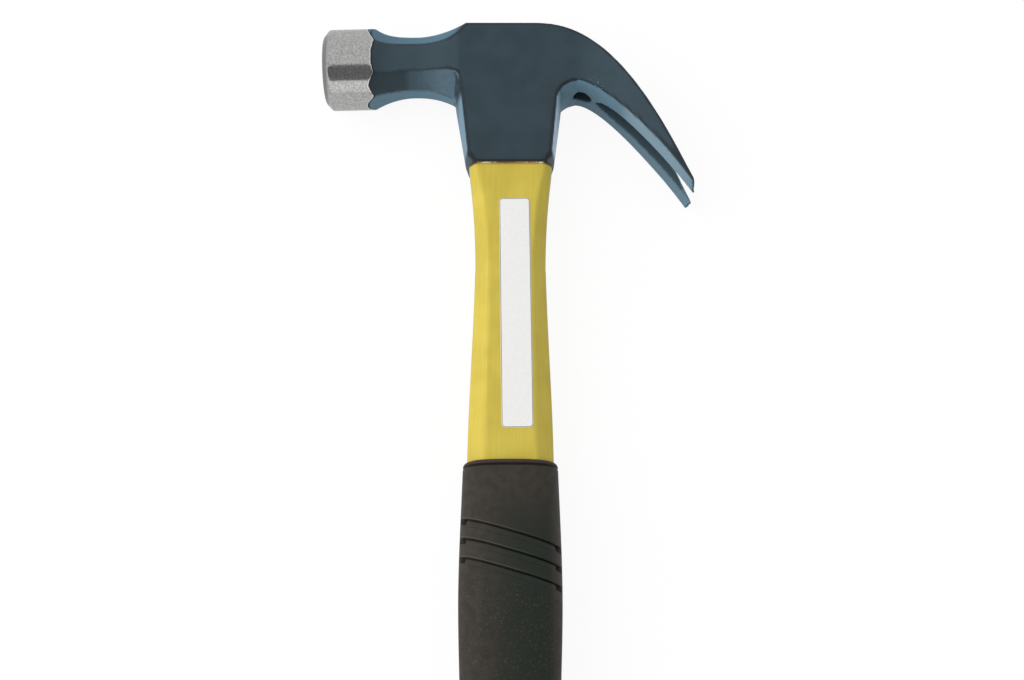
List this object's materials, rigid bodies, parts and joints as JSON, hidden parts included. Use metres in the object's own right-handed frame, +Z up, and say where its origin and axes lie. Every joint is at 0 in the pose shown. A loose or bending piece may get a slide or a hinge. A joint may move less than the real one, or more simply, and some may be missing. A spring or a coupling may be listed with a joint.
{
  "type": "claw hammer",
  "caption": "Claw hammer lying on its side: forged head with a turned poll and curved nail claws, fibreglass handle, moulded rubber grip.",
  "frame": {"origin": "centre of the bounding box in plan, on the surface that the hammer lies on", "axes": "+X from the poll to the claws, +Y from the grip's butt to the head's crown, +Z up, across the cheeks"},
  "size_m": [0.1264, 0.3312, 0.028],
  "materials": {
    "painted_head": "satin dark blue-grey enamel on forged steel, bare and bright on the turned poll",
    "fibreglass": "smooth yellow resin with fine lengthwise fibres",
    "adhesive": "amber bonding resin",
    "rubber_grip": "matt black rubber, smooth above and finely pebbled below the grooves",
    "label_film": "blank white film"
  },
  "bodies": {
    "root": {"head": "painted_head", "handle": "fibreglass", "eye_epoxy": "adhesive", "grip": "rubber_grip", "label": "label_film"}
  },
  "joints": []
}
